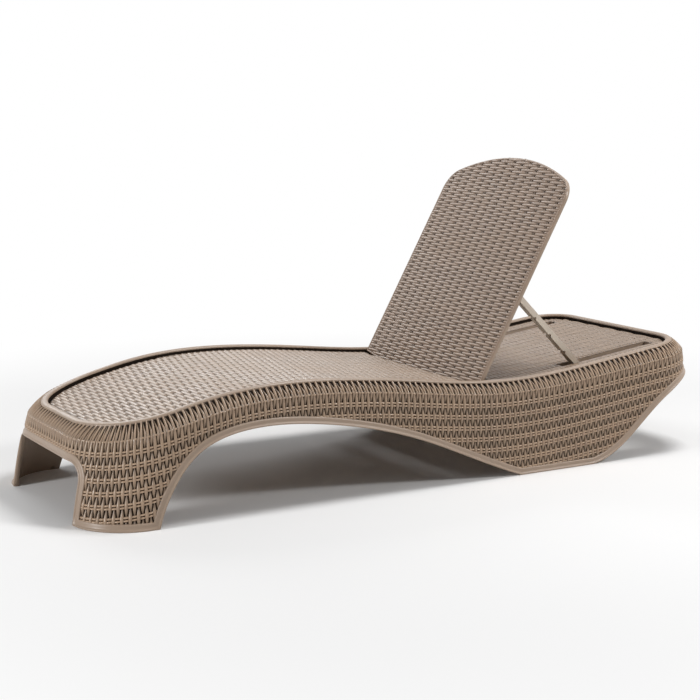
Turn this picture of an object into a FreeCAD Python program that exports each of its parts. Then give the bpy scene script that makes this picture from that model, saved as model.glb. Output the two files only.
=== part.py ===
import FreeCAD, Part
import math
import os

# Sun lounger in moulded woven-look resin: a skirted body on two foot-end legs and a keel,
# a woven seat, and a hinged backrest that two notched props hold on a bar.
# Frame: +X from foot to head, +Y to the sitter's left, +Z up, origin on the ground at mid length.
# A station is a distance from the foot end of the flange, and a setback one from the head end.
# A longer lounger has a longer seat: the hinge and all behind it keep their distance from the head end.

Vector = FreeCAD.Vector
QUARTER_TURN = 90
doc = FreeCAD.newDocument("sun_lounger")
sheet = doc.addObject("Spreadsheet::Sheet", "Dimensions")

DIMENSIONS = [
    ("overall_length", 1870),
    ("base_width", 708),
    ("flange_lip", 9),
    ("flange_band", 18),
    ("flange_top_drop", 52),
    ("skirt_wall", 4),
    ("loft_height", 340),
    ("foot_corner_radius", 140),
    ("foot_top_radius", 270),
    ("end_corner_radius", 150),
    ("foot_top_inset", 30),
    ("foot_top_margin", 43),
    ("head_top_margin", 2),
    ("head_top_setback", 23),
    ("head_flange_height", 226),
    ("shoulder_chamfer", 26),
    ("shoulder_wall", 6),
    ("shoulder_inner_chamfer", 22),
    ("foot_rim_height", 224),
    ("crest_station", 534),
    ("crest_height", 304),
    ("waist_setback", 710),
    ("waist_height", 252),
    ("rear_rise_setback", 454),
    ("rear_rise_height", 264),
    ("rear_high_setback", 192),
    ("rear_high_height", 296),
    ("head_rim_height", 318),
    ("wave_overrun", 50),
    ("leg_length", 171),
    ("arch_station", 446),
    ("arch_height", 213),
    ("keel_start_setback", 653),
    ("keel_end_setback", 408),
    ("foot_arch_half_width", 211),
    ("foot_arch_height", 145),
    ("foot_arch_radius", 45),
    ("opening_foot_station", 68),
    ("opening_head_setback", 62),
    ("opening_full_setback", 820),
    ("opening_foot_margin", 86),
    ("opening_margin", 54),
    ("opening_foot_radius", 186),
    ("opening_head_radius", 100),
    ("opening_bend_radius", 1870),
    ("rim_width", 12),
    ("rim_height", 7),
    ("deck_gap", 4),
    ("seat_recess", 10),
    ("rear_recess", 8),
    ("deck_bed", 18),
    ("ledge_width", 18),
    ("ledge_thickness", 5),
    ("rib_depth", 26),
    ("rib_thickness", 5),
    ("rib_count", 7),
    ("hinge_setback", 720),
    ("hinge_height", 235),
    ("hinge_pin_radius", 4),
    ("hinge_boss_radius", 9),
    ("lug_radius", 11),
    ("lug_setback", 63),
    ("lug_width", 20),
    ("lug_bracket_gap", 4),
    ("bracket_width", 20),
    ("bracket_foot", 44),
    ("bracket_foot_thickness", 6),
    ("beam_depth", 28),
    ("beam_width", 56),
    ("beam_drop", 31),
    ("saddle_length", 24),
    ("saddle_wall", 5),
    ("pin_head_radius", 7),
    ("pin_head_length", 4),
    ("running_gap", 0.05),
    ("seat_clearance", 0.3),
    ("rest_angle", 60.6),
    ("backrest_length", 658),
    ("backrest_side_gap", 5),
    ("backrest_corner_radius", 70),
    ("backrest_top_bow", 40),
    ("backrest_bottom_bow", 28),
    ("backrest_underside", 10),
    ("frame_depth", 16),
    ("panel_thickness", 8),
    ("panel_edge_radius", 3),
    ("frame_side_inset", 25),
    ("frame_end_inset", 3),
    ("frame_skin", 3),
    ("frame_bay_count", 4),
    ("frame_rib", 8),
    ("prop_setback", 83),
    ("prop_width", 24),
    ("prop_depth", 16),
    ("prop_wall", 3),
    ("prop_side_gap", 3),
    ("prop_pivot", 273),
    ("prop_length", 340),
    ("prop_rest_angle", 44.7),
    ("prop_pin_radius", 4),
    ("notch_first", 328),
    ("notch_pitch", 73),
    ("notch_count", 4),
    ("notch_depth", 6),
    ("rest_bar_radius", 6),
    ("socket_radius", 13),
    ("socket_length", 16),
    ("slot_start_setback", 430),
    ("slot_end_setback", 118),
    ("screw_radius", 2),
    ("screw_head_radius", 4.5),
    ("screw_head_height", 2.5),
    ("screw_length", 9),
    ("overrun", 200),
    ("foot_top_half_width", "=base_width / 2 - foot_top_margin"),
    ("head_top_half_width", "=base_width / 2 - head_top_margin"),
    ("head_top_station", "=overall_length - head_top_setback"),
    ("waist_station", "=overall_length - waist_setback"),
    ("rear_rise_station", "=overall_length - rear_rise_setback"),
    ("rear_high_station", "=overall_length - rear_high_setback"),
    ("keel_start", "=overall_length - keel_start_setback"),
    ("keel_end", "=overall_length - keel_end_setback"),
    ("opening_head_station", "=overall_length - opening_head_setback"),
    ("opening_full_station", "=overall_length - opening_full_setback"),
    ("opening_foot_half_width", "=base_width / 2 - opening_foot_margin"),
    ("opening_half_width", "=base_width / 2 - opening_margin"),
    ("hinge_station", "=overall_length - hinge_setback"),
    ("backrest_half_width", "=opening_half_width - backrest_side_gap"),
    ("lug_inner", "=backrest_half_width - lug_setback"),
    ("prop_inner", "=backrest_half_width - prop_setback"),
    ("slot_start", "=overall_length - slot_start_setback"),
    ("slot_end", "=overall_length - slot_end_setback"),
]
for row, (alias, value) in enumerate(DIMENSIONS, start=1):
    sheet.set("A%d" % row, alias)
    sheet.set("B%d" % row, str(value))
    sheet.setAlias("B%d" % row, alias)
doc.recompute()


def size(alias):
    """a driving dimension, in mm or degrees"""
    return float(sheet.get(alias))


def place_x(station):
    """X of a distance measured from the foot end"""
    return station - size("overall_length") / 2


def bind(thing, **cells):
    """tie properties to cells of the sheet"""
    for name, formula in cells.items():
        for alias, _ in DIMENSIONS:
            formula = formula.replace("<%s>" % alias, "Dimensions.%s" % alias)
        thing.setExpression(name.replace("__", "."), formula)


nodes = []


def keep(thing, label):
    """name a finished sub-part"""
    thing.Label = label
    nodes.append(thing)
    return thing


def keep_shape(shape, label):
    """a sub-part whose form is built with surfaces and booleans"""
    feature = doc.addObject("Part::Feature", label)
    feature.Shape = shape
    return keep(feature, label)


# Outlines and curves that the body's pieces share

def rounded(corners, radii, height):
    """closed level wire through corners, each rounded to its radius"""
    ends = []
    for k, corner in enumerate(corners):
        point = Vector(*corner, height)
        back = (Vector(*corners[k - 1], height) - point).normalize()
        ahead = (Vector(*corners[(k + 1) % len(corners)], height) - point).normalize()
        half = back.getAngle(ahead) / 2
        reach = radii[k] / math.tan(half)
        middle = point + (back + ahead).normalize() * (radii[k] / math.sin(half) - radii[k])
        ends.append((point + back * reach, middle, point + ahead * reach))
    edges = []
    for k, (start, middle, end) in enumerate(ends):
        edges.append(Part.Arc(start, middle, end).toShape())
        edges.append(Part.makeLine(end, ends[(k + 1) % len(ends)][0]))
    return Part.Wire(edges)


def spline(points):
    """smooth curve through stations and heights, in the centre plane"""
    curve = Part.BSplineCurve()
    curve.interpolate([Vector(place_x(station), 0, height) for station, height in points])
    return curve.toShape()


def across(face):
    """a profile of the centre plane, run right across the body"""
    reach = size("base_width") / 2 + size("overrun")
    solid = face.extrude(Vector(0, 2 * reach, 0))
    solid.translate(Vector(0, -reach, 0))
    return solid


FOOT_RISE_SHARES = ((0.33, 0.28), (0.67, 0.80))
SEAT_FALL_SHARES = ((0.28, 0.88), (0.56, 0.53))


def top_points(drop):
    """the wave of the rim: low at the foot, crest under the knees, waist at the hinge"""
    foot, crest = size("foot_rim_height"), size("crest_height")
    crest_at, waist_at = size("crest_station"), size("waist_station")
    fall, waist = waist_at - crest_at, size("waist_height")
    points = [(-size("wave_overrun"), foot)]
    points += [(crest_at * along, foot + (crest - foot) * up) for along, up in FOOT_RISE_SHARES]
    points += [(crest_at, crest)]
    points += [(crest_at + fall * along, waist + (crest - waist) * up) for along, up in SEAT_FALL_SHARES]
    points += [
        (waist_at, waist),
        (size("rear_rise_station"), size("rear_rise_height")),
        (size("rear_high_station"), size("rear_high_height")),
        (size("overall_length") + size("wave_overrun"), size("head_rim_height")),
    ]
    return [(station, height - drop) for station, height in points]


def above(drop):
    """all that lies above the wave of the rim, lowered by drop"""
    edge = spline(top_points(drop))
    start, end = edge.Vertexes[0].Point, edge.Vertexes[-1].Point
    ceiling = size("loft_height") + size("overrun")
    far, near = Vector(end.x, 0, ceiling), Vector(start.x, 0, ceiling)
    sides = [Part.makeLine(end, far), Part.makeLine(far, near), Part.makeLine(near, start)]
    return across(Part.Face(Part.Wire([edge] + sides)))


def between(high, low):
    """the layer between two drops below the wave of the rim"""
    return above(low).cut(above(high))


def block(inset, drop, chamfer):
    """the body's outer form, drawn in by inset and lowered by drop"""
    half = size("base_width") / 2 - size("flange_lip") - inset
    foot = place_x(size("flange_lip") + inset)
    tall = size("loft_height")
    head_top = size("head_top_station")
    head_wall = size("overall_length") - size("flange_lip")
    head_base = head_top + (head_wall - head_top) / (1 - size("head_flange_height") / tall)
    head = place_x(head_base - inset)
    corner, end = size("foot_corner_radius") - inset, size("end_corner_radius") - inset
    foot_end = size("foot_top_radius") - inset
    base = rounded([(foot, -half), (head, -half), (head, half), (foot, half)],
                   [corner, end, end, corner], 0)
    foot_half, head_half = size("foot_top_half_width") - inset, size("head_top_half_width") - inset
    foot_top, head_top_x = foot + size("foot_top_inset"), place_x(head_top - inset)
    top = rounded([(foot_top, -foot_half), (head_top_x, -head_half),
                   (head_top_x, head_half), (foot_top, foot_half)], [foot_end, end, end, foot_end], tall)
    solid = Part.makeLoft([base, top], True, True).cut(above(drop))
    if chamfer:
        lid = max(solid.Faces, key=lambda face: face.CenterOfMass.z)
        solid = solid.makeChamfer(chamfer, lid.Edges)
    return solid


def opening(inset):
    """plan of the deck opening, drawn in by inset, as a tall solid"""
    foot = place_x(size("opening_foot_station") + inset)
    head = place_x(size("opening_head_station") - inset)
    full = place_x(size("opening_full_station"))
    narrow, wide = size("opening_foot_half_width") - inset, size("opening_half_width") - inset
    foot_radius = size("opening_foot_radius") - inset
    head_radius = size("opening_head_radius") - inset
    bend_radius = size("opening_bend_radius")
    corners = [(foot, -narrow), (full, -wide), (head, -wide),
               (head, wide), (full, wide), (foot, narrow)]
    radii = [foot_radius, bend_radius, head_radius, head_radius, bend_radius, foot_radius]
    plan = Part.Face(rounded(corners, radii, 0))
    return plan.extrude(Vector(0, 0, size("loft_height") + size("overrun")))


# Body shell: skirt wall, sloped shoulder, flared flange along the lower edge, inner deck ledge

STEPS_PER_POINT = 4


def under(points, grow):
    """side view of the space under a lower edge, grown upwards by grow"""
    curve = spline(points).Curve
    if grow:
        first, last = curve.FirstParameter, curve.LastParameter
        steps = STEPS_PER_POINT * len(points)
        grown = []
        for k in range(steps + 1):
            at = first + (last - first) * k / steps
            along = Vector(*curve.tangent(at)[0])
            grown.append(curve.value(at) + Vector(-along.z, 0, along.x) * grow)
        curve = Part.BSplineCurve()
        curve.interpolate(grown)
    edge = curve.toShape()
    floor = -size("overrun")
    start, end = edge.Vertexes[0].Point, edge.Vertexes[-1].Point
    low_end, low_start = Vector(end.x, 0, floor), Vector(start.x, 0, floor)
    sides = [Part.makeLine(end, low_end), Part.makeLine(low_end, low_start),
             Part.makeLine(low_start, start)]
    return across(Part.Face(Part.Wire([edge] + sides)))


ARCH_RISE_SHARES = ((0.12, 0.37), (0.38, 0.77))
ARCH_FALL_SHARES = ((0.22, 0.95), (0.58, 0.63), (0.83, 0.25))
PROW_SHARES = ((0.16, 0.09), (0.41, 0.42), (0.62, 0.73), (0.82, 0.92))


def under_arch(grow):
    """the space between the leg and the keel"""
    leg, peak, keel = size("leg_length"), size("arch_station"), size("keel_start")
    high = size("arch_height")
    points = [(leg, 0)]
    points += [(leg + (peak - leg) * along, high * up) for along, up in ARCH_RISE_SHARES]
    points += [(peak, high)]
    points += [(peak + (keel - peak) * along, high * up) for along, up in ARCH_FALL_SHARES]
    return under(points + [(keel, 0)], grow)


def under_prow(grow):
    """the space under the upswept head end"""
    keel, length, high = size("keel_end"), size("overall_length"), size("head_flange_height")
    points = [(keel, 0)]
    points += [(keel + (length - keel) * along, high * up) for along, up in PROW_SHARES]
    return under(points + [(length, high), (length + size("overrun"), high)], grow)


def foot_arch(grow):
    """end view of the arch between the two legs, grown by grow"""
    half = size("foot_arch_half_width") + grow
    high, radius = size("foot_arch_height") + grow, size("foot_arch_radius") + grow
    x = place_x(-size("overrun"))
    flat, spring = half - radius, high - radius
    lean = radius * math.sqrt(0.5)
    floor = -size("overrun")
    left = [Vector(x, -half, floor), Vector(x, -half, spring), Vector(x, -flat, high)]
    right = [Vector(x, flat, high), Vector(x, half, spring), Vector(x, half, floor)]
    left_middle = Vector(x, -flat - lean, spring + lean)
    right_middle = Vector(x, flat + lean, spring + lean)
    edges = [Part.makeLine(left[0], left[1]), Part.Arc(left[1], left_middle, left[2]).toShape(),
             Part.makeLine(left[2], right[0]), Part.Arc(right[0], right_middle, right[1]).toShape(),
             Part.makeLine(right[1], right[2]), Part.makeLine(right[2], left[0])]
    depth = size("overrun") + size("foot_corner_radius")
    return Part.Face(Part.Wire(edges)).extrude(Vector(depth, 0, 0))


def ground_strip():
    """the flange's band along the ground"""
    length = size("overall_length") + size("overrun")
    reach = size("base_width") / 2 + size("overrun")
    strip = Part.makeBox(length, 2 * reach, size("flange_band"))
    strip.translate(Vector(-length / 2, -reach, 0))
    return strip


def ledge():
    """lip of the opening and the shelf that the two decks lie on"""
    bed = size("deck_bed") + size("seat_clearance")
    bottom = bed + size("ledge_thickness")
    lip = opening(-size("skirt_wall")).cut(opening(0)).common(between(0, bottom))
    shelf = opening(0).cut(opening(size("ledge_width"))).common(between(bed, bottom))
    return lip.fuse(shelf)


def body_shell():
    wall, lip, band = size("skirt_wall"), size("flange_lip"), size("flange_band")
    inner = block(wall, size("shoulder_wall"), size("shoulder_inner_chamfer"))
    skirt = block(0, 0, size("shoulder_chamfer"))
    bands = under_arch(band).fuse([under_prow(band), foot_arch(band), ground_strip()])
    flange = block(-lip, size("flange_top_drop"), 0).common(bands)
    shell = skirt.fuse(flange).cut(inner)
    shell = shell.cut([under_arch(0), under_prow(0), foot_arch(0), opening(0)])
    return shell.fuse(ledge()).Solids[0]


keep_shape(body_shell(), "body_shell")

# Top rim: smooth bead round the opening, on the shoulder

rim_plan = opening(-size("rim_width")).cut(opening(0))
rim_low = -size("seat_clearance")
keep_shape(rim_plan.common(between(rim_low - size("rim_height"), rim_low)), "top_rim")

# Backrest frame of reference: X along the backrest from the hinge, Z out of its face

axis = Vector(place_x(size("hinge_station")), 0, size("hinge_height"))
raised = FreeCAD.Rotation(Vector(0, 1, 0), -size("rest_angle"))
backrest_place = FreeCAD.Placement(axis, raised)
face_height = size("backrest_underside") + size("frame_depth") + size("panel_thickness")


def backrest_outline(side, end):
    """edges of the backrest's plan, drawn in at sides and ends: bowed foot, rounded bowed top"""
    half, radius = size("backrest_half_width") - side, size("backrest_corner_radius") - end
    length, top_bow = size("backrest_length") - end, size("backrest_top_bow")
    bottom_bow = size("backrest_bottom_bow")
    shoulder = length - top_bow - radius
    lean = radius * math.sqrt(0.5)
    flat = half - radius
    top = shoulder + radius
    return [
        Part.Arc(Vector(end, half, 0), Vector(end - bottom_bow, 0, 0), Vector(end, -half, 0)),
        Part.LineSegment(Vector(end, -half, 0), Vector(shoulder, -half, 0)),
        Part.Arc(Vector(shoulder, -half, 0), Vector(shoulder + lean, -flat - lean, 0),
                 Vector(top, -flat, 0)),
        Part.Arc(Vector(top, -flat, 0), Vector(length, 0, 0), Vector(top, flat, 0)),
        Part.Arc(Vector(top, flat, 0), Vector(shoulder + lean, flat + lean, 0),
                 Vector(shoulder, half, 0)),
        Part.LineSegment(Vector(shoulder, half, 0), Vector(end, half, 0)),
    ]


def sketch_on(body, name, role, geometry, offset=None):
    """a sketch on one of the body's own origin planes"""
    plane = [feature for feature in body.Origin.OriginFeatures if feature.Role == role][0]
    sketch = body.newObject("Sketcher::SketchObject", name)
    sketch.AttachmentSupport = [(plane, "")]
    sketch.MapMode = "FlatFace"
    if offset:
        bind(sketch, AttachmentOffset__Base__z=offset)
    for piece in geometry:
        sketch.addGeometry(piece, False)
    return sketch


def pad(body, name, sketch, length, reverse=False, both=False):
    feature = body.newObject("PartDesign::Pad", name)
    feature.Profile = sketch
    feature.Reversed = reverse
    feature.Midplane = both
    bind(feature, Length=length)
    body.Tip = feature
    return feature


def pocket(body, name, sketch, length, reverse=False, both=False):
    feature = body.newObject("PartDesign::Pocket", name)
    feature.Profile = sketch
    feature.Reversed = reverse
    feature.Midplane = both
    bind(feature, Length=length)
    body.Tip = feature
    return feature


def rectangle(low, high):
    """four lines round a rectangle given by two opposite corners"""
    corners = [Vector(*low, 0), Vector(high[0], low[1], 0),
               Vector(*high, 0), Vector(low[0], high[1], 0)]
    return [Part.LineSegment(corners[k - 1], corners[k]) for k in range(4)]


# Seat deck: woven panel on the ledge, hollow rear edge that clears the backrest, ribs below

def seat_plan():
    """the seat's plan: the opening up to the arc that the backrest's foot edge sweeps"""
    gap = size("deck_gap")
    half = size("opening_half_width")
    reach = math.hypot(face_height, size("backrest_bottom_bow")) + gap
    side, middle = axis.x - face_height - gap, axis.x - reach
    foot, tall = place_x(0), size("loft_height") + size("overrun")
    far = [Vector(side, half, 0), Vector(middle, 0, 0), Vector(side, -half, 0)]
    edges = [Part.Arc(*far).toShape(), Part.makeLine(far[2], Vector(foot, -half, 0)),
             Part.makeLine(Vector(foot, -half, 0), Vector(foot, half, 0)),
             Part.makeLine(Vector(foot, half, 0), far[0])]
    plan = Part.Face(Part.Wire(edges)).extrude(Vector(0, 0, tall))
    return plan


def seat_deck():
    plan = seat_plan()
    panel = plan.common(opening(size("deck_gap")))
    panel = panel.common(between(size("seat_recess"), size("deck_bed")))
    inside = opening(size("ledge_width") + size("deck_gap"))
    start = place_x(size("opening_foot_station") + size("ledge_width") + size("deck_gap"))
    span = axis.x - face_height - size("backrest_bottom_bow") * 2 - start
    half, tall = size("opening_half_width"), size("loft_height")
    ribs = []
    for k in range(int(size("rib_count"))):
        rib = Part.makeBox(size("rib_thickness"), 2 * half, tall)
        rib.translate(Vector(start + span * (k + 0.5) / size("rib_count"), -half, 0))
        ribs.append(rib)
    for side in (-1, 0, 1):
        rib = Part.makeBox(span, size("rib_thickness"), tall)
        rib.translate(Vector(start, side * half / 2 - size("rib_thickness") / 2, 0))
        ribs.append(rib)
    panel_middle = (size("seat_recess") + size("deck_bed")) / 2
    layer = between(panel_middle, size("deck_bed") + size("rib_depth"))
    lattice = ribs[0].fuse(ribs[1:]).common(inside).common(layer)
    return panel.fuse(lattice).removeSplitter()


keep_shape(seat_deck(), "seat_deck")

# Rear deck: woven floor under the backrest, slotted for the props

def rear_deck():
    start, end = axis.x + size("beam_width") / 2, place_x(size("opening_head_station"))
    half, tall = size("opening_half_width"), size("loft_height") + size("overrun")
    plan = Part.makeBox(end - start, 2 * half, tall)
    plan.translate(Vector(start, -half, 0))
    panel = plan.common(opening(size("deck_gap")))
    panel = panel.common(between(size("rear_recess"), size("deck_bed")))
    gap = size("prop_side_gap")
    slots = []
    for side in (-1, 1):
        low = size("prop_inner") - gap
        wide = size("prop_width") + 2 * gap
        slot = Part.makeBox(size("slot_end") - size("slot_start"), wide, tall)
        slot.translate(Vector(place_x(size("slot_start")), low if side > 0 else -low - wide, 0))
        slots.append(slot)
    return panel.cut(slots).removeSplitter()


keep_shape(rear_deck(), "rear_deck")

# Backrest: woven face panel, ribbed back frame with hinge lugs

panel_body = doc.addObject("PartDesign::Body", "backrest_panel")
panel_sketch = sketch_on(panel_body, "panel_outline", "XY_Plane", backrest_outline(0, 0),
                         "<backrest_underside> + <frame_depth>")
panel_pad = pad(panel_body, "panel_pad", panel_sketch, "<panel_thickness>")
doc.recompute()
pad_faces = panel_pad.Shape.Faces
front = max(range(len(pad_faces)), key=lambda k: pad_faces[k].CenterOfMass.z)
soften = panel_body.newObject("PartDesign::Fillet", "panel_edge")
soften.Base = (panel_pad, ["Face%d" % (front + 1)])
bind(soften, Radius="<panel_edge_radius>")
panel_body.Tip = soften
panel_body.Placement = backrest_place
keep(panel_body, "backrest_panel")

frame_body = doc.addObject("PartDesign::Body", "backrest_frame")
frame_plan = backrest_outline(size("frame_side_inset"), size("frame_end_inset"))
frame_sketch = sketch_on(frame_body, "frame_outline", "XY_Plane", frame_plan, "<backrest_underside>")
pad(frame_body, "frame_pad", frame_sketch, "<frame_depth>")
doc.recompute()
rib = size("frame_rib")
pocket_low = size("prop_inner") - size("prop_side_gap")
pocket_high = pocket_low + size("prop_width") + 2 * size("prop_side_gap")
usable = size("backrest_length") - size("backrest_top_bow") - size("frame_end_inset") - rib
bay_length = usable / size("frame_bay_count") - rib
bay_depth = "<frame_depth> - <frame_skin>"
bay_half = pocket_low - rib
bay_sketch = sketch_on(frame_body, "bay", "XY_Plane",
                       rectangle((rib, -bay_half), (rib + bay_length, bay_half)), "<backrest_underside>")
bay = pocket(frame_body, "bay_pocket", bay_sketch, bay_depth, reverse=True)
bays = frame_body.newObject("PartDesign::LinearPattern", "bays")
bays.Originals = [bay]
bays.Direction = (bay_sketch, ["H_Axis"])
bays.Occurrences = int(size("frame_bay_count"))
bays.Length = (bay_length + rib) * (size("frame_bay_count") - 1)
frame_body.Tip = bays
prop_start = size("prop_pivot") - size("prop_depth")
prop_end = size("prop_pivot") + size("prop_length") + size("prop_side_gap")
for side, name in ((-1, "right"), (1, "left")):
    low, high = sorted((side * pocket_low, side * pocket_high))
    trough = sketch_on(frame_body, "trough_" + name, "XY_Plane",
                       rectangle((prop_start, low), (prop_end, high)), "<backrest_underside>")
    pocket(frame_body, "trough_pocket_" + name, trough, "<frame_depth>", reverse=True)
pivot_height = size("backrest_underside") + size("frame_depth") / 2
hole_inner, hole_outer = pocket_low - rib, pocket_high + rib
lug_outer = size("lug_inner") + size("lug_width")


def lug_profile():
    """rounded lug below the frame, bored for the hinge pin"""
    radius, top = size("lug_radius"), size("backrest_underside")
    bore = size("hinge_pin_radius") + size("running_gap")
    return [
        Part.Arc(Vector(-radius, 0, 0), Vector(0, -radius, 0), Vector(radius, 0, 0)),
        Part.LineSegment(Vector(radius, 0, 0), Vector(radius, top, 0)),
        Part.LineSegment(Vector(radius, top, 0), Vector(-radius, top, 0)),
        Part.LineSegment(Vector(-radius, top, 0), Vector(-radius, 0, 0)),
        Part.Circle(Vector(0, 0, 0), Vector(0, 0, 1), bore),
    ]


# A sketch on the XZ plane faces the right side, so the left side's offsets are negative.
lug_offsets = {"right": "<lug_inner>", "left": "-<lug_inner> - <lug_width>"}
hole_offsets = {"right": "<prop_inner> + <prop_width> + <prop_side_gap> + <frame_rib>",
                "left": "-<prop_inner> + <prop_side_gap> + <frame_rib>"}
hole_length = "<prop_width> + 2 * <prop_side_gap> + 2 * <frame_rib>"
for name in ("right", "left"):
    lug = sketch_on(frame_body, "lug_" + name, "XZ_Plane", lug_profile(), lug_offsets[name])
    pad(frame_body, "lug_pad_" + name, lug, "<lug_width>")
    bore = Part.Circle(Vector(size("prop_pivot"), pivot_height, 0), Vector(0, 0, 1),
                       size("prop_pin_radius") + size("running_gap"))
    hole = sketch_on(frame_body, "prop_hole_" + name, "XZ_Plane", [bore], hole_offsets[name])
    pocket(frame_body, "prop_hole_pocket_" + name, hole, hole_length)
frame_body.Placement = backrest_place
keep(frame_body, "backrest_frame")

# Props: notched channel arms that swing from the back frame and stand on the rest bar

swung = FreeCAD.Rotation(Vector(0, 1, 0), size("prop_rest_angle"))
pivot = backrest_place.multVec(Vector(size("prop_pivot"), 0, pivot_height))
prop_middle = size("prop_inner") + size("prop_width") / 2
along_y = FreeCAD.Rotation(Vector(1, 0, 0), -QUARTER_TURN)


def prop_profile():
    """side view of an arm: round ends, notches in the lower edge, bored for its pin"""
    half, length, deep = size("prop_depth") / 2, size("prop_length"), size("notch_depth")
    end = length - half
    geometry = [
        Part.Circle(Vector(0, 0, 0), Vector(0, 0, 1), size("prop_pin_radius") + size("running_gap")),
        Part.Arc(Vector(0, -half, 0), Vector(-half, 0, 0), Vector(0, half, 0)),
        Part.LineSegment(Vector(0, half, 0), Vector(end, half, 0)),
    ]
    lower = [Vector(end, half, 0), Vector(length, 0, 0)]
    for k in range(int(size("notch_count"))):
        middle = size("notch_first") - k * size("notch_pitch")
        lower += [Vector(middle + deep, -half, 0), Vector(middle, deep - half, 0),
                  Vector(middle - deep, -half, 0)]
    lower += [Vector(0, -half, 0)]
    geometry += [Part.LineSegment(a, b) for a, b in zip(lower, lower[1:])]
    return geometry


for side, name in ((-1, "right"), (1, "left")):
    arm = doc.addObject("PartDesign::Body", "prop_arm_" + name)
    side_view = sketch_on(arm, "arm_side_" + name, "XZ_Plane", prop_profile())
    pad(arm, "arm_pad_" + name, side_view, "<prop_width>", both=True)
    doc.recompute()
    wide = size("prop_width") / 2 - size("prop_wall")
    start, end = size("prop_depth"), size("prop_length") - size("prop_depth") / 2 - size("prop_wall")
    hollow = sketch_on(arm, "arm_hollow_" + name, "XY_Plane", rectangle((start, -wide), (end, wide)),
                       "-<prop_depth> / 2")
    pocket(arm, "arm_channel_" + name, hollow, "<prop_depth> - <prop_wall>", reverse=True)
    arm.Placement = FreeCAD.Placement(pivot + Vector(0, side * prop_middle, 0), swung)
    keep(arm, "prop_arm_" + name)

    pin = doc.addObject("Part::Cylinder", "prop_pin_" + name)
    bind(pin, Radius="<prop_pin_radius>",
         Height="<prop_width> + 2 * <prop_side_gap> + 2 * <frame_rib> - 2 * <seat_clearance>")
    low = hole_inner + size("seat_clearance") if side > 0 else -hole_outer + size("seat_clearance")
    pin.Placement = FreeCAD.Placement(pivot + Vector(0, low, 0), along_y)
    keep(pin, "prop_pin_" + name)

# Rest bar: round bar below the rear deck, held in two sockets on the skirt's inner faces


def inner_half_width(station, height):
    """half the width inside the skirt"""
    wall = size("skirt_wall")
    base = size("base_width") / 2 - size("flange_lip") - wall
    start, end = size("flange_lip") + size("foot_top_inset"), size("head_top_station")
    share = (station - start) / (end - start)
    foot, head = size("foot_top_half_width"), size("head_top_half_width")
    top = foot + (head - foot) * share - wall
    return base + (top - base) * height / size("loft_height")


def clear_half_width(station, height, along, up):
    """half the width that is clear inside the skirt over a reach along and up from a place"""
    return min(inner_half_width(station + dx, height + dz) for dx in (-along, along) for dz in (-up, up))


notch_offset = -size("prop_depth") / 2 + size("notch_depth") - size("rest_bar_radius") * math.sqrt(2)
rest = pivot + swung.multVec(Vector(size("notch_first"), 0, notch_offset - size("seat_clearance")))
rest_station = rest.x + size("overall_length") / 2
bar_half = clear_half_width(rest_station, rest.z, size("socket_radius"), size("socket_radius"))
bar_half -= size("socket_length") / 2
inside_skirt = block(size("skirt_wall") + size("seat_clearance"),
                     size("shoulder_wall") + size("seat_clearance"), size("shoulder_inner_chamfer"))
bar = doc.addObject("Part::Cylinder", "prop_rest_bar")
bind(bar, Radius="<rest_bar_radius>")
bar.Height = 2 * bar_half
bar.Placement = FreeCAD.Placement(Vector(rest.x, -bar_half, rest.z), along_y)
keep(bar, "prop_rest_bar")

for side, name in ((-1, "right"), (1, "left")):
    start = Vector(rest.x, side * (bar_half - size("socket_length")), rest.z)
    outward = Vector(0, side, 0)
    ring = Part.makeCylinder(size("socket_radius"), size("socket_length") * 2, start, outward)
    seat = Part.makeCylinder(size("rest_bar_radius") + size("running_gap"),
                             size("socket_length") + size("seat_clearance"), start, outward)
    keep_shape(ring.common(inside_skirt).cut(seat), "bar_socket_" + name)

# Hinge: cross beam in two saddles, a bracket on it at each side, headed pins through the lugs

beam_top = size("hinge_height") - size("beam_drop")
saddle_half = size("beam_width") / 2 + size("saddle_wall") + size("seat_clearance")
saddle_tall = size("beam_depth") + size("saddle_wall") + size("seat_clearance")
beam_half = clear_half_width(size("hinge_station"), beam_top - saddle_tall / 2, saddle_half, saddle_tall / 2)
beam_half -= size("seat_clearance")
beam = doc.addObject("Part::Box", "hinge_beam")
bind(beam, Length="<beam_width>", Height="<beam_depth>")
beam.Width = 2 * beam_half
beam.Placement.Base = Vector(axis.x - size("beam_width") / 2, -beam_half, beam_top - size("beam_depth"))
keep(beam, "hinge_beam")

for side, name in ((-1, "right"), (1, "left")):
    gap, wall = size("seat_clearance"), size("saddle_wall")
    low = beam_half - size("saddle_length") if side > 0 else -beam_half
    block_out = doc.addObject("Part::Box", "saddle_block_" + name)
    bind(block_out, Length="<beam_width> + 2 * <saddle_wall> + 2 * <seat_clearance>",
         Width="<saddle_length>", Height="<beam_depth> + <saddle_wall>")
    block_out.Placement.Base = Vector(-wall - gap, 0, -wall - gap)
    block_in = doc.addObject("Part::Box", "saddle_space_" + name)
    bind(block_in, Length="<beam_width> + 2 * <seat_clearance>", Width="<saddle_length>",
         Height="<beam_depth> + <saddle_wall>")
    block_in.Placement.Base = Vector(-gap, 0, -gap)
    saddle = doc.addObject("Part::Cut", "beam_saddle_" + name)
    saddle.Base, saddle.Tool = block_out, block_in
    saddle.Placement.Base = Vector(axis.x - size("beam_width") / 2, low, beam_top - size("beam_depth"))
    keep(saddle, "beam_saddle_" + name)


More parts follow.
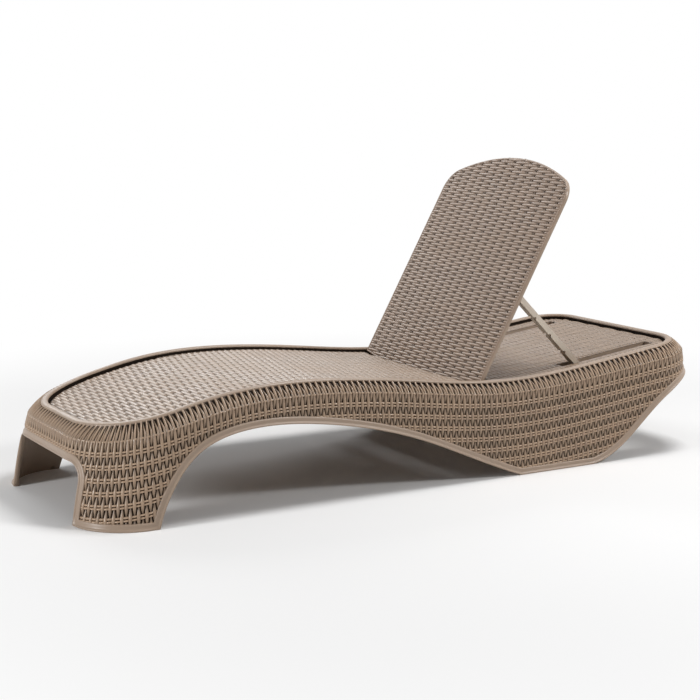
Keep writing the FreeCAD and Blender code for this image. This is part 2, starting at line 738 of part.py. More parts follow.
def bracket_profile():
    """side view of a hinge bracket: broad foot, upright, round bored head"""
    boss, foot = size("hinge_boss_radius"), size("bracket_foot") / 2
    low = -size("beam_drop")
    step = low + size("bracket_foot_thickness")
    corners = [Vector(-boss, 0, 0), Vector(-boss, step, 0), Vector(-foot, step, 0),
               Vector(-foot, low, 0), Vector(foot, low, 0), Vector(foot, step, 0),
               Vector(boss, step, 0), Vector(boss, 0, 0)]
    return [
        Part.Circle(Vector(0, 0, 0), Vector(0, 0, 1), size("hinge_pin_radius") + size("running_gap")),
        Part.Arc(corners[-1], Vector(0, boss, 0), corners[0]),
    ] + [Part.LineSegment(a, b) for a, b in zip(corners, corners[1:])]


bracket_inner = lug_outer + size("lug_bracket_gap")
bracket_middle = bracket_inner + size("bracket_width") / 2
pin_reach = bracket_inner + size("bracket_width") + size("seat_clearance")
for side, name in ((-1, "right"), (1, "left")):
    bracket = doc.addObject("PartDesign::Body", "hinge_bracket_" + name)
    profile = sketch_on(bracket, "bracket_side_" + name, "XZ_Plane", bracket_profile())
    pad(bracket, "bracket_pad_" + name, profile, "<bracket_width>", both=True)
    bracket.Placement.Base = axis + Vector(0, side * bracket_middle, 0)
    keep(bracket, "hinge_bracket_" + name)

    shank = doc.addObject("Part::Cylinder", "pin_shank_" + name)
    bind(shank, Radius="<hinge_pin_radius>",
         Height="<lug_width> + <lug_bracket_gap> + <bracket_width> + <seat_clearance>")
    head = doc.addObject("Part::Cylinder", "pin_head_" + name)
    bind(head, Radius="<pin_head_radius>", Height="<pin_head_length>")
    head.Placement.Base.z = pin_reach - size("lug_inner")
    pin = doc.addObject("Part::Fuse", "hinge_pin_" + name)
    pin.Base, pin.Tool = shank, head
    turn = FreeCAD.Rotation(Vector(1, 0, 0), -QUARTER_TURN * side)
    pin.Placement = FreeCAD.Placement(axis + Vector(0, side * size("lug_inner"), 0), turn)
    keep(pin, "hinge_pin_" + name)

# Screws, in groups of like pieces


def screw(point, way):
    """one screw: point is under its head, way is where it drives"""
    shank = Part.makeCylinder(size("screw_radius"), size("screw_length"), point, way)
    head = Part.makeCylinder(size("screw_head_radius"), size("screw_head_height"), point, way * -1)
    return shank.fuse(head).removeSplitter()


rim_curve = spline(top_points(0)).Curve
HALVINGS = 40


def rim_height_at(station):
    """height of the wave of the rim at a station"""
    low, high = rim_curve.FirstParameter, rim_curve.LastParameter
    for _ in range(HALVINGS):
        middle = (low + high) / 2
        if rim_curve.value(middle).x < place_x(station):
            low = middle
        else:
            high = middle
    return rim_curve.value(low).z


under_ledge = size("deck_bed") + 2 * size("seat_clearance") + size("ledge_thickness")
ledge_middle = size("ledge_width") / 2
up = Vector(0, 0, 1)
deck_screws = []
SEAT_SCREW_SHARES = (0.2, 0.5, 0.8)
REAR_SCREW_SHARES = (0.12, 0.42, 0.85)
foot_at, full_at, head_at = (size("opening_foot_station"), size("opening_full_station"),
                             size("opening_head_station"))
seat_end = size("hinge_station") - face_height
for share in SEAT_SCREW_SHARES:
    station = foot_at + (seat_end - foot_at) * share
    widen = min((station - foot_at) / (full_at - foot_at), 1)
    half = size("opening_foot_half_width")
    half += (size("opening_half_width") - half) * widen - ledge_middle
    for side in (-1, 1):
        point = Vector(place_x(station), side * half, rim_height_at(station) - under_ledge)
        deck_screws.append(screw(point, up))
rear_start = size("hinge_station") + size("beam_width") / 2
for share in REAR_SCREW_SHARES:
    station = rear_start + (head_at - rear_start) * share
    for side in (-1, 1):
        point = Vector(place_x(station), side * (size("opening_half_width") - ledge_middle),
                       rim_height_at(station) - under_ledge)
        deck_screws.append(screw(point, up))
keep_shape(Part.makeCompound(deck_screws), "deck_screws")

foot_top = beam_top + size("bracket_foot_thickness")
screw_reach = (size("bracket_foot") / 2 + size("hinge_boss_radius")) / 2
keep_shape(Part.makeCompound([
    screw(Vector(axis.x + end * screw_reach, side * bracket_middle, foot_top), up * -1)
    for side in (-1, 1) for end in (-1, 1)]), "bracket_screws")

bay_floor = size("backrest_underside") + size("frame_depth") - size("frame_skin")
back_screws = [
    screw(Vector(rib + (bay_length + rib) * k + bay_length / 2, side * bay_half / 2, bay_floor), up)
    for k in range(int(size("frame_bay_count"))) for side in (-1, 1)]
group = keep_shape(Part.makeCompound(back_screws), "backrest_screws")
group.Placement = backrest_place

# Check every object, then write each sub-part

doc.recompute()
failed = [thing.Name for thing in doc.Objects if "Invalid" in thing.State or "Error" in thing.State]
failed += [node.Label for node in nodes if node.Shape.isNull() or not node.Shape.isValid()]
if failed:
    raise SystemExit("failed: " + ", ".join(failed))
os.makedirs("parts", exist_ok=True)
for node in nodes:
    node.Shape.exportStep("parts/%s.step" % node.Label)
    print(node.Label, len(node.Shape.Solids), "solids,", round(node.Shape.Volume / 1000), "cm3")
print("hinge axis", axis, "prop pivot", pivot, "rest bar", rest)
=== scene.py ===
import math

import bmesh
import bpy
import numpy as np
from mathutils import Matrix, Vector


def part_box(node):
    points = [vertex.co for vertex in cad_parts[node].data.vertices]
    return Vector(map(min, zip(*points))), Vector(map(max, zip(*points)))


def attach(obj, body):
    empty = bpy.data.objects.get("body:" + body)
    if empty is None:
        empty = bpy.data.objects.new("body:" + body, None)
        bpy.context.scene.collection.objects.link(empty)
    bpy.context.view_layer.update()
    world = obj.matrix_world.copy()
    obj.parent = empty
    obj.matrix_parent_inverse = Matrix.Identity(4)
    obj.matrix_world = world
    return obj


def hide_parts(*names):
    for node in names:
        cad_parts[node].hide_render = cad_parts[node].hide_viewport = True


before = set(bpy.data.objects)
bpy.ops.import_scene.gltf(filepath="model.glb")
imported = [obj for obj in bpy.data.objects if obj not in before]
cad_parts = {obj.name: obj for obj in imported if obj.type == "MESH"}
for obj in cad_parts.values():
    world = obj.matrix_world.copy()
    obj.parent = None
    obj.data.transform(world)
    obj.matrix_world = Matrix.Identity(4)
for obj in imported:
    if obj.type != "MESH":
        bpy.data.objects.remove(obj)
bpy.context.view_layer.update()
bpy.context.scene.view_settings.view_transform = "Standard"

# Body shell: one thin moulding in taupe resin, open below, with a sloped shoulder round its top.
# Its outer face, which the woven strands stand on, and the inner wall just under the rim are painted
# near-black as shade; the rest of the inside is left smooth.

rng = np.random.default_rng(7)


def node_tree(material):
    """the material's emptied node tree with one shader on its output"""
    material.use_nodes = True
    tree = material.node_tree
    tree.nodes.clear()
    output = tree.nodes.new("ShaderNodeOutputMaterial")
    shader = tree.nodes.new("ShaderNodeBsdfPrincipled")
    tree.links.new(shader.outputs["BSDF"], output.inputs["Surface"])
    return tree, shader


def resin_grain_group():
    """mottled colour, uneven gloss and a fine leathery grain, as moulded resin shows"""
    speck_share, gloss_swing = 0.5, 0.3
    middle = 0.5 + speck_share / 2
    group = bpy.data.node_groups.new("resin_grain", "ShaderNodeTree")
    group.interface.new_socket("Colour", in_out="INPUT", socket_type="NodeSocketColor")
    group.interface.new_socket("Mottle", in_out="INPUT", socket_type="NodeSocketFloat")
    group.interface.new_socket("Gloss", in_out="INPUT", socket_type="NodeSocketFloat")
    group.interface.new_socket("Grain Scale", in_out="INPUT", socket_type="NodeSocketFloat")
    group.interface.new_socket("Colour", in_out="OUTPUT", socket_type="NodeSocketColor")
    group.interface.new_socket("Roughness", in_out="OUTPUT", socket_type="NodeSocketFloat")
    group.interface.new_socket("Height", in_out="OUTPUT", socket_type="NodeSocketFloat")
    nodes, link = group.nodes, group.links.new
    given, out = nodes.new("NodeGroupInput"), nodes.new("NodeGroupOutput")
    place = nodes.new("ShaderNodeTexCoord")
    cloud = nodes.new("ShaderNodeTexNoise")
    cloud.inputs["Scale"].default_value = 9
    cloud.inputs["Detail"].default_value = 4
    link(place.outputs["Object"], cloud.inputs["Vector"])
    speck = nodes.new("ShaderNodeTexNoise")
    speck.inputs["Detail"].default_value = 3
    link(place.outputs["Object"], speck.inputs["Vector"])
    link(given.outputs["Grain Scale"], speck.inputs["Scale"])
    both = nodes.new("ShaderNodeMath")
    both.operation = "MULTIPLY_ADD"
    both.inputs[1].default_value = speck_share
    link(speck.outputs["Fac"], both.inputs[0])
    link(cloud.outputs["Fac"], both.inputs[2])
    centred = nodes.new("ShaderNodeMath")
    centred.operation = "SUBTRACT"
    centred.inputs[1].default_value = middle
    link(both.outputs[0], centred.inputs[0])
    amount = nodes.new("ShaderNodeMath")
    amount.operation = "MULTIPLY_ADD"
    amount.inputs[2].default_value = 1
    link(centred.outputs[0], amount.inputs[0])
    link(given.outputs["Mottle"], amount.inputs[1])
    shade = nodes.new("ShaderNodeVectorMath")
    shade.operation = "SCALE"
    link(given.outputs["Colour"], shade.inputs[0])
    link(amount.outputs[0], shade.inputs["Scale"])
    link(shade.outputs["Vector"], out.inputs["Colour"])
    rough = nodes.new("ShaderNodeMath")
    rough.operation = "MULTIPLY_ADD"
    rough.inputs[1].default_value = gloss_swing
    link(centred.outputs[0], rough.inputs[0])
    link(given.outputs["Gloss"], rough.inputs[2])
    link(rough.outputs[0], out.inputs["Roughness"])
    link(speck.outputs["Fac"], out.inputs["Height"])
    return group


resin_grain = resin_grain_group()


def resin(name, colour, mottle, gloss, grain_scale, bump):
    """a moulded resin of the given colour"""
    material = bpy.data.materials.new(name)
    tree, shader = node_tree(material)
    grain = tree.nodes.new("ShaderNodeGroup")
    grain.node_tree = resin_grain
    grain.inputs["Colour"].default_value = (*colour, 1)
    grain.inputs["Mottle"].default_value = mottle
    grain.inputs["Gloss"].default_value = gloss
    grain.inputs["Grain Scale"].default_value = grain_scale
    relief = tree.nodes.new("ShaderNodeBump")
    relief.inputs["Strength"].default_value = bump
    relief.inputs["Distance"].default_value = 0.0006
    tree.links.new(grain.outputs["Colour"], shader.inputs["Base Color"])
    tree.links.new(grain.outputs["Roughness"], shader.inputs["Roughness"])
    tree.links.new(grain.outputs["Height"], relief.inputs["Height"])
    tree.links.new(relief.outputs["Normal"], shader.inputs["Normal"])
    return material


smooth_resin = resin("smooth_resin", (0.335, 0.247, 0.182), mottle=0.16, gloss=0.38,
                     grain_scale=700, bump=0.20)
# Near-black painted shade, with little gloss, for the faces behind the strands and in the gap under the
# rim.
painted_shade_resin = resin("painted_shade_resin", (0.016, 0.010, 0.0065), mottle=0.30, gloss=0.80,
                     grain_scale=500, bump=0.30)
painted_shade_resin.node_tree.nodes["Principled BSDF"].inputs["Specular IOR Level"].default_value = 0.1


def smooth_curve(points, count):
    """count points of a smooth curve through the given ones"""
    points = np.array(points, float)
    knots = np.concatenate([[0], np.cumsum(np.hypot(*np.diff(points, axis=0).T))])
    step = np.diff(knots)[:, None]
    slope = np.diff(points, axis=0) / step
    matrix, right = np.zeros((len(points), len(points))), np.zeros_like(points)
    for k in range(1, len(points) - 1):
        matrix[k, k - 1:k + 2] = step[k - 1, 0], 2 * (step[k - 1, 0] + step[k, 0]), step[k, 0]
        right[k] = 6 * (slope[k] - slope[k - 1])
    first = np.polyfit(knots[:4], points[:4], 3)[2]
    last = np.polyfit(knots[:-5:-1] - knots[-1], points[:-5:-1], 3)[2]
    matrix[0, :2], right[0] = (2 * step[0, 0], step[0, 0]), 6 * (slope[0] - first)
    matrix[-1, -2:], right[-1] = (step[-1, 0], 2 * step[-1, 0]), 6 * (last - slope[-1])
    bend = np.linalg.solve(matrix, right)
    at = np.linspace(0, knots[-1], count)
    k = np.clip(np.searchsorted(knots, at, "right") - 1, 0, len(points) - 2)
    h, a, b = step[k], (knots[k + 1] - at)[:, None], (at - knots[k])[:, None]
    return ((bend[k] * a ** 3 + bend[k + 1] * b ** 3) / (6 * h)
            + (points[k] / h - bend[k] * h / 6) * a + (points[k + 1] / h - bend[k + 1] * h / 6) * b)


rim_wave = smooth_curve([
    (-0.985, 0.224), (-0.7588, 0.2464), (-0.5772, 0.288), (-0.401, 0.304), (-0.2257, 0.2978),
    (-0.0504, 0.2796), (0.225, 0.252), (0.481, 0.264), (0.743, 0.296), (0.985, 0.318)], 600)


def rim_height(x):
    """height of the body's top edge at a place along it"""
    return np.interp(x, rim_wave[:, 0], rim_wave[:, 1])


def rounded_run(corners, radii, step):
    """points of a closed outline with rounded corners; each edge keeps its own count"""
    joints = []
    for k, corner in enumerate(corners):
        here = np.array(corner)
        back = np.array(corners[k - 1]) - here
        ahead = np.array(corners[(k + 1) % len(corners)]) - here
        back, ahead = back / np.hypot(*back), ahead / np.hypot(*ahead)
        half = math.acos(np.clip(back @ ahead, -1, 1)) / 2
        middle = (back + ahead) / np.hypot(*(back + ahead))
        joints.append((here + back * radii[k] / math.tan(half), here + ahead * radii[k] / math.tan(half),
                       here + middle * radii[k] / math.sin(half)))
    run = []
    for k, (start, end, centre) in enumerate(joints):
        first = math.atan2(*(start - centre)[::-1])
        turn = (math.atan2(*(end - centre)[::-1]) - first + math.pi) % (2 * math.pi) - math.pi
        share = np.linspace(0, 1, step[2 * k], endpoint=False)[:, None]
        angle = first + turn * share
        run.append(centre + radii[k] * np.hstack([np.cos(angle), np.sin(angle)]))
        share = np.linspace(0, 1, step[2 * k + 1], endpoint=False)[:, None]
        run.append(end + (joints[(k + 1) % len(joints)][0] - end) * share)
    return np.vstack(run)


wall_tall, waist_share, same_side = 0.340, 0.42, 0.15
edge_counts = [300, 1560, 240, 400, 240, 1560, 300, 420]
wall_base = rounded_run([(-0.926, -0.345), (0.95375, -0.345), (0.95375, 0.345), (-0.926, 0.345)],
                        [0.140, 0.150, 0.150, 0.140], edge_counts)
wall_top = rounded_run([(-0.896, -0.311), (0.912, -0.352), (0.912, 0.352), (-0.896, 0.311)],
                       [0.270, 0.150, 0.150, 0.270], edge_counts)
foot_middle = len(wall_base) - edge_counts[-1] // 2
wall_base, wall_top = np.roll(wall_base, -foot_middle, 0), np.roll(wall_top, -foot_middle, 0)
wall_base, wall_top = np.vstack([wall_base, wall_base[:1]]), np.vstack([wall_top, wall_top[:1]])
waist = wall_base + (wall_top - wall_base) * waist_share
waist_run = np.concatenate([[0], np.cumsum(np.hypot(*np.diff(waist, axis=0).T))])
wall_length = waist_run[-1]
columns, levels = 1400, 18
column_run = np.linspace(0, wall_length, columns + 1)
waist = np.column_stack([np.interp(column_run, waist_run, waist[:, k]) for k in (0, 1)])
heading = np.roll(waist[:-1], -1, 0) - np.roll(waist[:-1], 1, 0)
heading = np.vstack([heading, heading[:1]])
heading /= np.hypot(*heading.T)[:, None]
wall_lines = []
for z in np.linspace(0, wall_tall, levels):
    line = wall_base + (wall_top - wall_base) * z / wall_tall
    ahead = (line[None, :, 0] - waist[:, None, 0]) * heading[:, None, 0]
    ahead += (line[None, :, 1] - waist[:, None, 1]) * heading[:, None, 1]
    apart = np.hypot(line[None, :, 0] - waist[:, None, 0], line[None, :, 1] - waist[:, None, 1])
    nearest = np.argmin(np.where(apart < same_side, np.abs(ahead), np.inf), axis=1)
    trend = line[(nearest + 1) % (len(line) - 1)] - line[nearest - 1]
    miss = ahead[np.arange(columns + 1), nearest] / np.sum(trend * heading, axis=1)
    wall_lines.append(line[nearest] - trend * miss[:, None])
wall_lines = np.array(wall_lines)


def wall_place(run, z):
    """plan position on the skirt's outer face, its direction along the face and outwards"""
    column = np.mod(run, wall_length) / wall_length * columns
    k = np.minimum(column.astype(int), columns - 1)
    part = (column - k)[:, None]
    level = np.clip(np.asarray(z) / wall_tall * (levels - 1), 0, levels - 1.001)
    n = level.astype(int)
    share = (level - n)[:, None]
    low = wall_lines[n, k] * (1 - part) + wall_lines[n, k + 1] * part
    high = wall_lines[n + 1, k] * (1 - part) + wall_lines[n + 1, k + 1] * part
    along = heading[k] * (1 - part) + heading[k + 1] * part
    along /= np.hypot(*along.T)[:, None]
    return low * (1 - share) + high * share, along, np.column_stack([along[:, 1], -along[:, 0]])


def skin_of(node, name, in_painted_shade):
    """a merged copy of a CAD piece in smooth resin, with near-black painted shade on the faces that the
    given test picks
    """
    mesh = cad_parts[node].data.copy()
    mesh.name = name
    piece = bpy.data.objects.new(name, mesh)
    bpy.context.collection.objects.link(piece)
    mesh.materials.clear()
    mesh.materials.append(smooth_resin)
    mesh.materials.append(painted_shade_resin)
    work = bmesh.new()
    work.from_mesh(mesh)
    bmesh.ops.remove_doubles(work, verts=work.verts, dist=1e-6)
    work.normal_update()
    for face in work.faces:
        face.material_index = 1 if in_painted_shade(face) else 0
        face.smooth = False
    return piece, work


def stands_out(point, reach):
    """whether a point lies outside the skirt's outer face by more than reach"""
    line = wall_base + (wall_top - wall_base) * point[2] / wall_tall
    near = np.argmin(np.hypot(*(line - point[:2]).T)) % (len(line) - 1)
    along = line[near + 1] - line[near - 1 if near else -2]
    out = np.array([along[1], -along[0]]) / np.hypot(*along)
    return (np.array(point[:2]) - line[near]) @ out > reach


opening_corners = [(-0.867, -0.268), (0.115, -0.300), (0.873, -0.300),
                   (0.873, 0.300), (0.115, 0.300), (-0.867, 0.268)]
opening_radii = [0.186, 1.870, 0.100, 0.100, 1.870, 0.186]
opening_counts = [60, 90, 12, 160, 60, 200, 60, 160, 12, 90, 60, 200]
blunt_corners = (1, 4)


def opening_run(inset):
    """the deck opening's outline, drawn in by inset"""
    signs = [(1, 1), (0, 1), (-1, 1), (-1, -1), (0, -1), (1, -1)]
    corners = [(x + inset * a, y + inset * b) for (x, y), (a, b) in zip(opening_corners, signs)]
    radii = [radius - (0 if k in blunt_corners else inset) for k, radius in enumerate(opening_radii)]
    return rounded_run(corners, radii, opening_counts)


def half_width_at(outline, x):
    """half the width of a symmetric outline at a place along it"""
    near = outline[outline[:, 1] <= 0]
    order = np.argsort(near[:, 0])
    return np.interp(x, near[order, 0], -near[order, 1])


ledge_wall = opening_run(-0.0015)
shoulder_zone, faces_up, wall_skin = 0.030, 0.3, 0.002
flange_root = 0.0006


# The faces this picks get the painted shade: the outer wall and the shoulder behind the strands, and the
# inner wall just under the rim as a painted shadow gap.
def on_outside(face):
    """whether a face belongs to the outer wall, the shoulder or the wall above the ledge"""
    centre, normal = face.calc_center_median(), face.normal
    if centre.z > rim_height(centre.x) - shoulder_zone:
        return normal.z > faces_up or abs(centre.y) < half_width_at(ledge_wall, centre.x)
    return stands_out(np.array(centre), -wall_skin)


shell_skin, work = skin_of("body_shell", "shell_skin", on_outside)
flared = [face for face in work.faces
          if any(stands_out(np.array(corner.co), flange_root) for corner in face.verts)]
bmesh.ops.delete(work, geom=flared, context="FACES")
work.to_mesh(shell_skin.data)
work.free()
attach(shell_skin, "base")
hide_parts("body_shell")

# Flange: the smooth band along the shell's lower edge, flared outwards to stiffen it.
# It runs round the two legs, the arches, the keel and the upswept head end, mitred at the feet,
# and ends in a thin lip at its outer edge.


def spread(points, near, far):
    """a polyline parted evenly by far, with its first and last part at least near long"""
    points = np.array(points)
    run = np.concatenate([[0], np.cumsum(np.hypot(*np.diff(points, axis=0).T))])
    count = max(1, round((run[-1] - 2 * near) / far))
    at = np.concatenate([[0], np.linspace(near, run[-1] - near, count + 1)])
    return np.column_stack([np.interp(at, run, points[:, k]) for k in (0, 1)])


def run_at(place, z, axis):
    """distance round the wall, on the right-hand side, of a place along or across the body"""
    half = columns // 2 if axis == 0 else columns // 8
    line = wall_place(column_run[:half], np.full(half, z))[0][:, axis]
    return np.interp(place, line if axis == 0 else -line, column_run[:half])


side_arch = smooth_curve([
    (-0.764, 0), (-0.731, 0.0788), (-0.6595, 0.164), (-0.489, 0.213), (-0.3194, 0.2024),
    (-0.0418, 0.1342), (0.1509, 0.0533), (0.282, 0)], 400)
prow = smooth_curve([
    (0.527, 0), (0.5923, 0.0203), (0.6943, 0.0949), (0.780, 0.165), (0.8616, 0.2079),
    (0.935, 0.226), (1.135, 0.226)], 400)
leg_half, arch_top, arch_round = 0.211, 0.145, 0.045
round_y, round_z = leg_half - arch_round, arch_top - arch_round
foot_edge = [(leg_half, 0)]
foot_edge += [(round_y + arch_round * math.cos(angle), round_z + arch_round * math.sin(angle))
              for angle in np.linspace(0, math.pi / 2, 24)]
foot_edge += [(0, arch_top)]
foot_edge = [(run_at(y, z, 1), z) for y, z in foot_edge]
arch_edge = [(run_at(x, z, 0), z) for x, z in side_arch]
head_corner, edge_step = 0.80, 0.010
prow_edge = [(run_at(x, z, 0), z) for x, z in prow if x < head_corner]
for run in np.linspace(prow_edge[-1][0] + edge_step, wall_length / 2, 80):
    z = prow_edge[-1][1]
    for _ in range(8):
        z = np.interp(wall_place(np.array([run]), np.array([z]))[0][0, 0], prow[:, 0], prow[:, 1])
    prow_edge.append((run, z))
half_edge = [
    spread(foot_edge[::-1], 0.019, 0.006), spread([foot_edge[0], arch_edge[0]], 0.020, edge_step),
    spread(arch_edge, 0.020, edge_step), spread([arch_edge[-1], prow_edge[0]], 0.020, edge_step),
    spread(prow_edge, 0.010, edge_step)]
lower_edge = np.vstack([part[:-1] for part in half_edge] + [half_edge[-1][-1:]])
far_edge = lower_edge[::-1][1:-1].copy()
far_edge[:, 0] = wall_length - far_edge[:, 0]
lower_edge = np.vstack([lower_edge, far_edge])


def add_strips(name, strips, material, tones_and_highlights=None):
    """one piece from strips of crosswise rows of points, each with its share of the full height, which
    the strand resins draw as painted shade; each strip carries a tone, which for the bands is a painted
    highlight
    """
    points, faces, tone_and_highlight, height, base = [], [], [], [], 0
    for k, strip in enumerate(strips):
        rows, wide, size = strip.shape
        points.append(strip[..., :3].reshape(-1, 3))
        height.append(strip[..., 3].ravel() if size == 4 else np.ones(rows * wide))
        index = base + np.arange(rows * wide).reshape(rows, wide)
        quads = np.stack([index[:-1, :-1], index[:-1, 1:], index[1:, 1:], index[1:, :-1]], -1)
        faces.append(quads.reshape(-1, 4))
        tone_and_highlight.append(np.full(rows * wide, tones_and_highlights[k] if tones_and_highlights is not None else 0.5))
        base += rows * wide
    mesh = bpy.data.meshes.new(name)
    mesh.from_pydata(np.vstack(points).tolist(), [], np.vstack(faces).tolist())
    mesh.attributes.new("strand", "FLOAT", "POINT").data.foreach_set("value", np.concatenate(tone_and_highlight))
    mesh.attributes.new("height", "FLOAT", "POINT").data.foreach_set("value", np.concatenate(height))
    mesh.materials.append(material)
    mesh.polygons.foreach_set("use_smooth", np.ones(len(mesh.polygons), bool))
    piece = bpy.data.objects.new(name, mesh)
    bpy.context.collection.objects.link(piece)
    return piece


def on_wall(run, z, off):
    """points at an offset from the skirt's outer face"""
    place, _, out = wall_place(run, z)
    return np.column_stack([place + out * np.asarray(off)[..., None], z])


ahead = np.roll(lower_edge, -1, 0) - lower_edge
ahead[:, 0] = (ahead[:, 0] + wall_length / 2) % wall_length - wall_length / 2
ahead /= np.hypot(*ahead.T)[:, None]
behind = np.roll(ahead, 1, 0)
inward = np.column_stack([-ahead[:, 1], ahead[:, 0]]) + np.column_stack([-behind[:, 1], behind[:, 0]])
inward /= np.hypot(*inward.T)[:, None]
least_mitre = 0.5
mitre = np.sum(inward * np.column_stack([-ahead[:, 1], ahead[:, 0]]), axis=1)
inward /= np.maximum(least_mitre, mitre)[:, None]
flange_profile = [
    (0.018, -0.003), (0.018, 0.0030), (0.0176, 0.0046), (0.0162, 0.0057), (0.0135, 0.0061),
    (0.0100, 0.0059), (0.0072, 0.0060), (0.0056, 0.0066), (0.0044, 0.0080), (0.0030, 0.0090),
    (0.0014, 0.0090), (0.0003, 0.0081), (0.0000, 0.0066), (0.0000, -0.0040), (0.018, -0.0040)]
rails = []
for deep, off in flange_profile:
    run, z = (lower_edge + inward * deep).T
    rails.append(on_wall(run, np.maximum(z, 0), off))
ring = np.stack(rails, 1)[:, ::-1]
flange = add_strips("flange", [np.concatenate([ring, ring[:1]])], smooth_resin)
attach(flange, "base")

# Skirt weave: flat resin strands run up the wall, over and under pairs of thin level bands, and on
# across the shoulder to the rim as an open lattice. Neighbours pass over at alternate rows.

pair_pitch, row_pitch, shoulder = 0.017, 0.030, 0.026
strand_count = 2 * round(wall_length / pair_pitch)


def strand_resin(name, colour):
    """resin strand: each strand has its own tone, and painted shade darkens the low parts of the
    strands, in the hollows between them
    """
    material = resin(name, colour, mottle=0.22, gloss=0.29, grain_scale=900, bump=0.25)
    tree = material.node_tree
    shader = tree.nodes["Principled BSDF"]
    toned = tree.nodes["Group"].outputs["Colour"]
    # The strand attribute gives each strand its own tone and makes the bands brighter as a painted
    # highlight; the height attribute draws the low parts of a strand darker, down to about a quarter, as
    # painted shade.
    for attribute, swing, least in (("strand", 0.12, 0.94), ("height", 0.74, 0.26)):
        share = tree.nodes.new("ShaderNodeAttribute")
        share.attribute_name = attribute
        level = tree.nodes.new("ShaderNodeMath")
        level.operation = "MULTIPLY_ADD"
        level.inputs[1].default_value = swing
        level.inputs[2].default_value = least
        tree.links.new(share.outputs["Fac"], level.inputs[0])
        scaled = tree.nodes.new("ShaderNodeVectorMath")
        scaled.operation = "SCALE"
        tree.links.new(toned, scaled.inputs[0])
        tree.links.new(level.outputs[0], scaled.inputs["Scale"])
        toned = scaled.outputs["Vector"]
    tree.links.new(toned, shader.inputs["Base Color"])
    return material


skirt_strand = strand_resin("skirt_strand", (0.372, 0.259, 0.174))

under_rim = 0.0125
rim_outside = opening_run(-under_rim)
rim_outside = np.vstack([np.linspace(a, b, 12, endpoint=False)
                         for a, b in zip(rim_outside, np.roll(rim_outside, -1, 0))])
edge_dense = np.vstack([np.linspace(a, b, 4, endpoint=False)
                        for a, b in zip(lower_edge, np.roll(lower_edge, -1, 0))
                        if abs(a[0] - b[0]) < wall_length / 2])


def edge_distance(run, z):
    """distance over the wall to the shell's lower edge"""
    across = np.abs(np.mod(run, wall_length)[:, None] - edge_dense[None, :, 0])
    across = np.minimum(across, wall_length - across)
    return np.sqrt(np.min(across ** 2 + (z[:, None] - edge_dense[None, :, 1]) ** 2, axis=1))


def edge_height(run):
    """height of the shell's lower edge"""
    order = np.argsort(edge_dense[:, 0])
    return np.interp(run, edge_dense[order, 0], edge_dense[order, 1])


def top_of_wall(run):
    """height of the shoulder's lower edge"""
    run = np.atleast_1d(run)
    z = np.full(len(run), 0.24)
    for _ in range(5):
        z = rim_height(wall_place(run, z)[0][:, 0]) - shoulder
    return z


strand_strips, strand_tints = [], []
over, under, on_lattice = 0.0050, -0.0002, 0.6
upright_rim_half, upright_knee_half = 0.0027, 0.0040
slant_rim_half, slant_knee_half, slant_widens = 0.0007, 0.0031, 0.70
slant_rim_drift, slant_knee_drift, slant_rim_wave = -0.0050, 0.0015, -1.3
over_half, under_half = 0.0045, 0.0026
knee_turn, knee_fade, room_fade, knee_dip, knee_dip_run = 0.006, 0.014, 0.10, 0.0012, 0.010
fall_start, fall_step, floor_gap, flange_gap, lean_out = 0.003, 0.005, 0.004, 0.0125, 0.7071
shade_foot, shade_range = 0.0026, 0.0072
strand_profile = ((-1, -0.0036), (-0.86, -0.0017), (-0.48, -0.0005), (0, 0),
                  (0.48, -0.0005), (0.86, -0.0017), (1, -0.0036))
strand_run = wall_length * np.arange(strand_count) / strand_count
strand_top = top_of_wall(strand_run)
knees, alongs, outs = wall_place(strand_run, strand_top)
brows = wall_place(strand_run, strand_top + shoulder)[0] - outs * shoulder
rims = np.array([rim_outside[np.argmin(np.hypot(*(rim_outside - brow).T))] for brow in brows])
knee_room = np.hypot(*(np.roll(knees, -2, 0) - np.roll(knees, 2, 0)).T) / (2 * pair_pitch)
rim_room = np.hypot(*(np.roll(rims, -2, 0) - np.roll(rims, 2, 0)).T) / (2 * pair_pitch)
